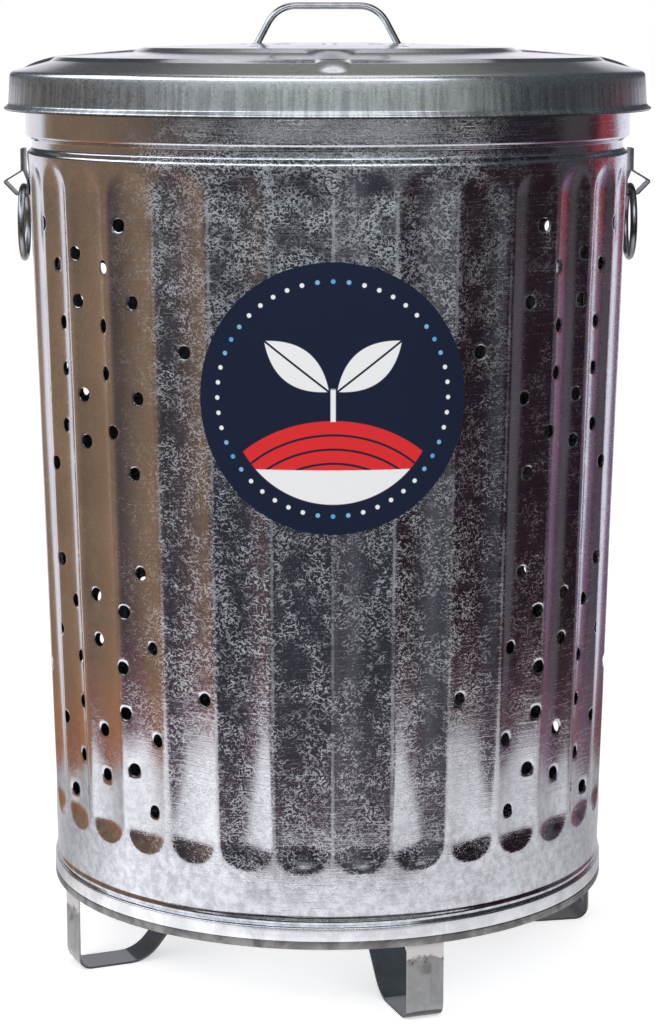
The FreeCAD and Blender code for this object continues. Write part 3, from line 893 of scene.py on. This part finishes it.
def foot_finish(name, pale, dark, dullness):
    """Zinc on the seam, the bottom or the base ring, with clouds from dark to pale."""
    finish = Finish(bpy.data.materials.new(name))
    clouds = finish.noise(45.0, detail=4.0, distortion=0.6)
    mottle = finish.noise(320.0, distortion=1.0)
    tone = finish.blend(finish.between(clouds, 0.35, 0.65), dark, pale)
    rough = dullness + (mottle - 0.5) * 0.25 + (clouds - 0.5) * 0.15
    relief = finish.bump(mottle, depth=0.08 * MM, strength=0.25)
    return finish.surface({"Base Color": tone, "Metallic": 1.0, "Roughness": rough, "Normal": relief})


# Legs' finish
OUTER_FACE = (LEG_OUTSIDE - 1.0 * MM, LEG_OUTSIDE - 0.5 * MM)
WELD_EDGE = (43.0 * MM, 46.0 * MM)
WELD_WANDER = 14.0 * MM
SCORCH_EDGE = (38.0 * MM, 41.0 * MM)
# Painted shade in near-black blue-grey for all but the strap's outer face, then the outer face's own tones
STRAP_INNER_SHADE = ((0.030, 0.038, 0.042), (0.12, 0.135, 0.145))
STRAP_OUTER = ((0.17, 0.175, 0.175), (0.44, 0.44, 0.43))
WELD_PALE = (0.80, 0.75, 0.74)
SCORCH_BROWN = (0.10, 0.055, 0.035)


def strap_finish():
    """Dull strap: painted shade in near-black blue-grey on all but its outer face, pale outside, with a
    weld smear and scorch at the top.
    """
    finish = Finish(bpy.data.materials.new("strap_zinc"))
    cloud = finish.noise(120.0, detail=4.0, roughness=0.65, distortion=0.6)
    grain = finish.noise(700.0)
    outside = finish.between(finish.reach(), *OUTER_FACE)
    # Painted shade: all but the outer face gets the near-black blue-grey
    tone = finish.blend(outside, finish.blend(cloud, *STRAP_INNER_SHADE), finish.blend(cloud, *STRAP_OUTER))
    wander = finish.z + (cloud - 0.5) * WELD_WANDER
    smear = finish.between(wander, *WELD_EDGE) * outside
    tone = finish.blend(smear * 0.85, tone, WELD_PALE)
    scorched = finish.between(wander, *SCORCH_EDGE) * finish.between(wander, *WELD_EDGE[::-1])
    scorched = scorched * finish.between(finish.noise(240.0, roughness=0.7), 0.5, 0.64) * outside
    tone = finish.blend(scorched, tone, SCORCH_BROWN)
    metal = 0.85 - smear * 0.5 - scorched * 0.3
    rough = 0.46 + (cloud - 0.5) * 0.3 + smear * 0.2
    relief = finish.bump(grain * 0.4 + smear * cloud, depth=0.25 * MM, strength=0.35)
    return finish.surface({"Base Color": tone, "Metallic": metal, "Roughness": rough, "Normal": relief})


def wire_finish(name, tone, polish):
    """Drawn wire or folded strip: fine grain and small dull patches."""
    finish = Finish(bpy.data.materials.new(name))
    clouds = finish.noise(90.0, distortion=0.5)
    grain = finish.noise(900.0)
    base = finish.blend(finish.between(clouds, 0.35, 0.65), [value * 0.75 for value in tone], tone)
    rough = polish + (clouds - 0.5) * 0.25 + (grain - 0.5) * 0.12
    return finish.surface({"Base Color": base, "Metallic": 1.0, "Roughness": rough,
                           "Normal": finish.bump(grain, depth=0.08 * MM, strength=0.2)})


# Print on the label, measured from its middle
LABEL_BEND = 212.6 * MM
PRINT_EDGE = 0.35 * MM
NAVY = (0.0060, 0.0140, 0.0420)
CARD_WHITE = (0.86, 0.87, 0.88)
CARD_RED = (0.74, 0.018, 0.022)
CARD_BLUE = (0.10, 0.38, 0.72)
DOTS = 48
DOT_RING = 78.0 * MM
DOT_SIZE = 1.5 * MM
DOT_REPEAT = 8
FIELD_RADIUS = 70.0 * MM
HILL_RADIUS = 96.0 * MM
HILL_TOP = -14.0 * MM
FURROW_STEP = 9.5 * MM
FURROW_LINE = (0.10, 0.06)
FURROW_START = (HILL_RADIUS - 0.7 * MM, HILL_RADIUS - 2.8 * MM)
PLATE_TOP = -47.0 * MM
LEAF_LEAN = 38.0
LEAF_LENGTH = 27.0 * MM
LEAF_WIDTH = 12.0 * MM
LEAF_CENTRE = (24.0 * MM, 22.0 * MM)
LEAF_VEIN = (0.5 * MM, 0.9 * MM)
STEM_HALF = 1.7 * MM
STEM_FOOT = (HILL_TOP - 1 * MM, HILL_TOP)
STEM_HEAD = (8.0 * MM, 6.0 * MM)


def label_finish():
    """Coated card, printed with a sprout on a red hill inside a ring of dots."""
    finish = Finish(bpy.data.materials.new("label_card"))
    x = finish.around(LABEL_BEND)
    z = finish.z - LABEL_HEIGHT

    def within(value, edge):
        """1 inside an edge of the print, 0 outside it."""
        return finish.between(value, edge + PRINT_EDGE, edge - PRINT_EDGE)

    radius = finish.distance(x, z)
    field = within(radius, FIELD_RADIUS)
    spoke = finish.maths("ARCTAN2", z, x) * (DOTS / (2 * math.pi))
    offset = (spoke - spoke.calc("ROUND")) * (2 * math.pi / DOTS) * radius
    dot = within(finish.distance(offset, radius - DOT_RING), DOT_SIZE)
    blue_dot = finish.between((spoke.calc("ROUND") / (DOT_REPEAT / 2)).calc("PINGPONG", 1.0), 0.6, 0.8)

    hill_reach = finish.distance(x, z - (HILL_TOP - HILL_RADIUS))
    hill = within(hill_reach, HILL_RADIUS) * field
    furrow = ((hill_reach - HILL_RADIUS) / FURROW_STEP).calc("PINGPONG", 0.5)
    furrow = finish.between(furrow, *FURROW_LINE) * hill * finish.between(hill_reach, *FURROW_START)
    plate = within(z, PLATE_TOP) * field

    side = x.calc("ABSOLUTE") - LEAF_CENTRE[0]
    rise = z - LEAF_CENTRE[1]
    cosine, sine = math.cos(math.radians(LEAF_LEAN)), math.sin(math.radians(LEAF_LEAN))
    along = side * cosine + rise * sine
    aside = (rise * cosine - side * sine).calc("ABSOLUTE")
    blade = (1 - (along * along) / LEAF_LENGTH ** 2) * LEAF_WIDTH - aside
    leaf = finish.between(blade, -PRINT_EDGE, PRINT_EDGE) * finish.between(aside, *LEAF_VEIN)
    stem = within(x.calc("ABSOLUTE"), STEM_HALF)
    stem = stem * finish.between(z, *STEM_FOOT) * finish.between(z, *STEM_HEAD)

    fibre = finish.noise(1400.0)
    ink = finish.blend(finish.between(fibre, 0.3, 0.7), [value * 0.85 for value in NAVY], NAVY)
    ink = finish.blend(dot, ink, finish.blend(blue_dot, CARD_WHITE, CARD_BLUE))
    ink = finish.blend(hill, ink, CARD_RED)
    ink = finish.blend(furrow, ink, NAVY)
    ink = finish.blend(plate, ink, CARD_WHITE)
    ink = finish.blend(leaf.calc("MAXIMUM", stem), ink, CARD_WHITE)
    rough = finish.between(fibre, 0.3, 0.7, start=0.38, end=0.46)
    return finish.surface({"Base Color": ink, "Roughness": rough, "Specular IOR Level": 0.35,
                           "Normal": finish.bump(fibre, depth=0.03 * MM, strength=0.1)})


def paint(finish, *pieces):
    for piece in pieces:
        piece.data.materials.clear()
        piece.data.materials.append(finish)


# Stage: floor, light and the room that the metal mirrors
# A SOFT value is the run over which one colour turns into the next.

ROOM_RADIUS = 2.4
ROOM_HEIGHT = 3.2
ROOM_FLOOR = 2.0 * MM
FLOOR_RADII = (*np.arange(0.02, 1.5, 0.02), *np.linspace(1.55, ROOM_RADIUS, 8))
SIDE_HEIGHTS = np.arange(0.02, ROOM_HEIGHT, 0.03)
ROOF_RADII = np.linspace(ROOM_RADIUS - 0.1, 0.05, 24)
ROOM_ANGLES = np.arange(-180, 180, 2.0)
PAPER_REACH = ((0, 0.50), (24, 0.50), (47, 0.78), (68, 0.78), (92, 0.62), (180, 0.62))
PAPER_EDGE = 0.08
PAPER_WHITE = (0.99, 0.99, 1.03)
PAPER_LEVELS = ((-180, 0.72), (-110, 0.60), (-70, 1.45), (0, 1.24), (60, 0.98), (110, 0.54), (180, 0.70))
BORDER_WIDTH = 0.50
LOW_TOP = 0.28
LOW_SOFT = 0.1
SIDE_TOP = 0.64
SIDE_SOFT = 0.12
BAND_GREEN = (0.245, 0.268, 0.248)
BAND_DARK = (0.060, 0.070, 0.080)
BAND_SPAN = 48
BAND_SOFT = 40
FRONT_SPAN = (-128, 44)
FRONT_SOFT = 8
SOFTBOX_BASE = 1.25
SOFTBOX_SOFT = 0.25
SOFTBOX_WHITE = (2.1, 2.22, 2.45)
WINDOW_SPAN = (38, 58)
WINDOW_SPAN_SOFT = 6
WINDOW_HEIGHTS = (0.60, 0.80)
WINDOW_SOFT = 0.1
WINDOW_WHITE = (1.7, 1.72, 1.78)
STRIP_SPAN = (-36, 42)
STRIP_SPAN_SOFT = 10
STRIP_HEIGHTS = (0.555, 0.65)
STRIP_SOFT = 0.03
STRIP_WHITE = (1.6, 1.6, 1.62)
BACKDROP_START = 158
BACKDROP_SOFT = 10
BACKDROP_WHITE = (1.05, 1.03, 1.10)
BACKDROP_LINE = (0.16, 0.14, 0.18)
BACKDROP_LINE_HEIGHTS = (0.595, 0.685)
BACKDROP_LINE_SOFT = 0.03
BACKDROP_DARK = (0.10, 0.10, 0.11)
BACKDROP_GREEN = (0.23, 0.245, 0.23)
BACKDROP_RISE = ((0.85, BACKDROP_WHITE), (0.96, (0.70, 0.69, 0.76)), (1.10, (0.62, 0.61, 0.67)),
                 (1.30, BACKDROP_DARK), (1.90, BACKDROP_DARK), (2.10, BACKDROP_GREEN),
                 (2.60, BACKDROP_GREEN), (2.90, (0.50, 0.48, 0.54)))
ROOF_GREY = (0.13, 0.13, 0.14)
ROOF_PANEL_RADIUS = 0.9
ROOF_WHITE = (1.3, 1.3, 1.35)
ROOF_SOFT = 0.2
ROOF_BACK_START = 140
ROOF_BACK_SOFT = 20
ROOF_BACK_RADIUS = 1.25
ROOF_BACK_WHITE = (0.95, 0.95, 1.0)
FLOOR_RINGS = (0.01, 0.3, 0.6, 1.2, 3.0, 8.0, 30.0)
FLOOR_SPOKES = np.arange(0, 360, 5.0)
FLOOR_TONES = ((0.80, 0.80, 0.80), (0.84, 0.84, 0.84))
FLOOR_GLOW = 0.5
WORLD_WHITE = (1.0, 1.0, 1.0, 1.0)
WORLD_LIGHT = 0.72
SOFTBOXES = (("key_softbox", (-1.4, -1.6, 2.0), 18.0), ("fill_softbox", (1.7, -1.2, 1.5), 8.0))
SOFTBOX_SIZE = 1.4
SOFTBOX_AIM = (0, 0, 0.35)

# Angle round the room, then its colour on the floor's border, low down and higher up
ROOM_SIDES = (
    (-180, (0.80, 0.80, 0.85), (0.98, 0.97, 1.04), (1.02, 1.00, 1.07)),
    (-134, (0.75, 0.74, 0.80), (0.90, 0.88, 0.96), (0.96, 0.94, 1.01)),
    (-128, (0.45, 0.22, 0.12), (0.38, 0.26, 0.18), (0.32, 0.24, 0.18)),
    (-118, (0.48, 0.20, 0.10), (0.34, 0.21, 0.135), (0.27, 0.19, 0.13)),
    (-84, (0.38, 0.17, 0.11), (0.26, 0.18, 0.12), (0.25, 0.175, 0.12)),
    (-70, (0.26, 0.10, 0.12), (0.20, 0.14, 0.105), (0.20, 0.14, 0.105)),
    (-55, (0.16, 0.07, 0.10), (0.10, 0.075, 0.078), (0.095, 0.073, 0.075)),
    (-30, (0.10, 0.06, 0.085), (0.04, 0.043, 0.055), (0.05, 0.053, 0.065)),
    (8, (0.09, 0.06, 0.08), (0.045, 0.048, 0.06), (0.06, 0.06, 0.072)),
    (22, (0.12, 0.09, 0.12), (0.11, 0.112, 0.13), (0.12, 0.12, 0.135)),
    (36, (0.10, 0.06, 0.08), (0.05, 0.048, 0.058), (0.05, 0.048, 0.058)),
    (52, (0.10, 0.045, 0.06), (0.024, 0.014, 0.020), (0.024, 0.016, 0.022)),
    (90, (0.12, 0.06, 0.08), (0.026, 0.013, 0.020), (0.028, 0.017, 0.024)),
    (96, (0.18, 0.10, 0.15), (0.10, 0.095, 0.105), (0.075, 0.070, 0.076)),
    (105, (0.24, 0.13, 0.20), (0.11, 0.10, 0.115), (0.080, 0.070, 0.078)),
    (110, (0.26, 0.14, 0.22), (0.09, 0.06, 0.09), (0.05, 0.03, 0.04)),
    (115, (0.24, 0.11, 0.13), (0.14, 0.08, 0.12), (0.08, 0.022, 0.03)),
    (119, (0.23, 0.10, 0.10), (0.23, 0.13, 0.20), (0.34, 0.05, 0.066)),
    (128, (0.24, 0.12, 0.13), (0.23, 0.14, 0.21), (0.34, 0.055, 0.073)),
    (132, (0.30, 0.22, 0.28), (0.45, 0.42, 0.52), (0.34, 0.20, 0.26)),
    (137, (0.75, 0.74, 0.84), (0.86, 0.86, 0.98), (0.90, 0.90, 1.02)),
    (180, (0.80, 0.80, 0.85), (0.98, 0.97, 1.04), (1.02, 1.00, 1.07)),
)


def colour_at(value, places, colours):
    """Colour at a value, between the colours given at some places."""
    return np.array([np.interp(value, places, part) for part in zip(*colours)])


def side_colour(angle, zone):
    """Colour of the room's border (1), lower side (2) or upper side (3) at an angle."""
    return colour_at(angle, [side[0] for side in ROOM_SIDES], [side[zone] for side in ROOM_SIDES])


def soft_share(value):
    return float(smooth_step(value))


def fade(first, second, share):
    """Colour from the first to the second as a share runs from 0 to 1."""
    share = soft_share(share)
    return np.array(first) * (1 - share) + np.array(second) * share


def inside_span(value, span, soft):
    """1 inside a span, softly 0 outside."""
    return soft_share((value - span[0]) / soft) * soft_share((span[1] - value) / soft)


def floor_colour(angle, radius):
    """White paper round the bin, a warm border, then the room's own colour."""
    edge = np.interp(abs(angle), *zip(*PAPER_REACH))
    ground = fade(side_colour(angle, 1), side_colour(angle, 2), (radius - edge) / BORDER_WIDTH)
    paper = np.array(PAPER_WHITE) * np.interp(angle, *zip(*PAPER_LEVELS))
    return fade(paper, ground, (radius - edge + PAPER_EDGE / 2) / PAPER_EDGE)


def upright_colour(angle, height):
    """Room's side at a height: grey band and softbox over the camera, pale backdrop behind the bin."""
    colour = fade(side_colour(angle, 2), side_colour(angle, 3), (height - LOW_TOP) / LOW_SOFT + 0.5)
    upper = fade(BAND_GREEN, BAND_DARK, (abs(angle) - BAND_SPAN) / BAND_SOFT + 0.5)
    lit = inside_span(angle, FRONT_SPAN, FRONT_SOFT) * soft_share((height - SOFTBOX_BASE) / SOFTBOX_SOFT)
    upper = fade(upper, SOFTBOX_WHITE, lit)
    at_back = (abs(angle) - BACKDROP_START) / BACKDROP_SOFT
    upper = fade(upper, colour_at(height, *zip(*BACKDROP_RISE)), at_back)
    colour = fade(colour, upper, (height - SIDE_TOP) / SIDE_SOFT + 0.5)
    line = inside_span(height, BACKDROP_LINE_HEIGHTS, BACKDROP_LINE_SOFT) * soft_share(at_back)
    colour = fade(colour, BACKDROP_LINE, line)
    window = inside_span(abs(angle), WINDOW_SPAN, WINDOW_SPAN_SOFT)
    colour = fade(colour, WINDOW_WHITE, window * inside_span(height, WINDOW_HEIGHTS, WINDOW_SOFT))
    strip = inside_span(angle, STRIP_SPAN, STRIP_SPAN_SOFT) * inside_span(height, STRIP_HEIGHTS, STRIP_SOFT)
    return fade(colour, STRIP_WHITE, strip)


def roof_colour(angle, radius):
    """Bright panel in the middle of the roof, and a pale stretch towards the back."""
    colour = fade(ROOF_WHITE, ROOF_GREY, (radius - ROOF_PANEL_RADIUS) / ROOF_SOFT + 0.5)
    at_back = soft_share((abs(angle) - ROOF_BACK_START) / ROOF_BACK_SOFT)
    return fade(colour, ROOF_BACK_WHITE, at_back * soft_share((radius - ROOF_BACK_RADIUS) / ROOF_SOFT))


def make_room():
    """Round room seen only in reflections: floor, sides and a bright overhead panel."""
    rows = [(radius, ROOM_FLOOR, floor_colour) for radius in FLOOR_RADII]
    rows += [(ROOM_RADIUS, height, upright_colour) for height in SIDE_HEIGHTS]
    rows += [(radius, ROOM_HEIGHT, roof_colour) for radius in ROOF_RADII]
    rings = []
    colours = []
    for radius, height, colour in rows:
        rings.append(round_point(radius, ROOM_ANGLES, height))
        place = height if colour is upright_colour else radius
        colours.extend((*colour(angle, place), 1.0) for angle in ROOM_ANGLES)
    mesh = new_mesh("mirrored_room", *loft(rings, closed=False))
    layer = mesh.color_attributes.new("room_colour", "FLOAT_COLOR", "POINT")
    layer.data.foreach_set("color", np.array(colours, dtype=np.float32).ravel())
    room = add_object("mirrored_room", mesh)
    room.visible_camera = False
    room.visible_diffuse = False
    room.visible_shadow = False
    room.visible_transmission = False
    finish = Finish(bpy.data.materials.new("room_glow"))
    hue = finish.term("ShaderNodeVertexColor", {"layer_name": "room_colour"}, {})
    glow = finish.term("ShaderNodeEmission", {}, {"Color": hue})
    finish.node("ShaderNodeOutputMaterial", {}, {"Surface": glow})
    finish.owner.cycles.emission_sampling = "NONE"
    mesh.materials.append(finish.owner)


def make_floor():
    """Pale floor disc that keeps the bin's shadow and runs out to white."""
    rings = [round_point(radius, FLOOR_SPOKES, 0.0) for radius in FLOOR_RINGS]
    points, faces = loft(rings, closed=False)
    mesh = new_mesh("floor", points, faces[:-1])
    floor = add_object("floor", mesh)
    floor.visible_glossy = False
    finish = Finish(bpy.data.materials.new("floor_paper"))
    seen = finish.term("ShaderNodeLightPath", {}, {}, "Is Camera Ray")
    tint = finish.blend(finish.noise(6.0, detail=2.0, roughness=0.55), *FLOOR_TONES)
    matt = finish.term("ShaderNodeBsdfDiffuse", {}, {"Color": tint})
    glow = finish.term("ShaderNodeEmission", {}, {"Strength": FLOOR_GLOW})
    bright = finish.term("ShaderNodeAddShader", {}, {0: matt, 1: glow})
    mixed = finish.term("ShaderNodeMixShader", {}, {0: seen, 1: matt, 2: bright})
    finish.node("ShaderNodeOutputMaterial", {}, {"Surface": mixed})
    mesh.materials.append(finish.owner)


def make_light():
    """White world behind the bin, a little dimmer as light on it, and two softboxes."""
    world = bpy.data.worlds.new("studio")
    bpy.context.scene.world = world
    sky = Finish(world)
    seen = sky.term("ShaderNodeLightPath", {}, {}, "Is Camera Ray")
    dim, white = [sky.term("ShaderNodeBackground", {}, {"Color": WORLD_WHITE, "Strength": strength})
                  for strength in (WORLD_LIGHT, 1.0)]
    mixed = sky.term("ShaderNodeMixShader", {}, {0: seen, 1: dim, 2: white})
    sky.node("ShaderNodeOutputWorld", {}, {"Surface": mixed})
    for name, place, power in SOFTBOXES:
        add_softbox(name, place, power)


def add_softbox(name, place, power):
    lamp = bpy.data.lights.new(name, "AREA")
    lamp.shape = "DISK"
    lamp.size = SOFTBOX_SIZE
    lamp.energy = power
    box = add_object(name, lamp)
    box.location = place
    aim = Vector(SOFTBOX_AIM) - box.location
    box.rotation_euler = aim.to_track_quat("-Z", "Y").to_euler()
    box.visible_glossy = False


def make_camera():
    lens = bpy.data.cameras.new("camera")
    lens.sensor_width = SENSOR
    lens.lens = SENSOR * FOCAL_PIXELS / PHOTO_HEIGHT
    camera = add_object("camera", lens)
    camera.location = round_point(CAMERA_DISTANCE, -CAMERA_SWING, CAMERA_HEIGHT)
    camera.rotation_euler = (math.radians(90 - CAMERA_PITCH), 0, math.radians(-CAMERA_SWING))
    bpy.context.scene.camera = camera


paint(wall_finish(), make_wall())
paint(lid_finish(), make_lid())
paint(label_finish(), make_label())
paint(foot_finish("seam_zinc", pale=(0.78, 0.79, 0.80), dark=(0.60, 0.61, 0.62), dullness=0.24),
      make_hoop("folded_seam", "seam_band", SEAM_INSIDE, SEAM_ROUND, SEAM_INNER_ROUND), nodes["bottom_pan"])
paint(foot_finish("hoop_zinc", pale=(0.34, 0.33, 0.32), dark=(0.15, 0.145, 0.14), dullness=0.45),
      make_hoop("base_hoop", "base_ring", BASE_RING_INSIDE, BASE_RING_ROUND, BASE_RING_INNER_ROUND))
paint(strap_finish(), *[make_leg(number) for number in (1, 2, 3, 4)])
paint(wire_finish("ear_zinc", tone=(0.40, 0.41, 0.43), polish=0.36), nodes["right_ear"], nodes["left_ear"])
paint(wire_finish("ring_zinc", tone=(0.40, 0.41, 0.42), polish=0.30),
      make_drop_ring("right_drop_ring", "right_ring"), make_drop_ring("left_drop_ring", "left_ring"))
paint(wire_finish("bright_wire", tone=(0.46, 0.465, 0.47), polish=0.20), make_handle(), nodes["rim_wire"])

make_room()
make_floor()
make_light()
make_camera()
bpy.context.scene.view_settings.view_transform = "Standard"
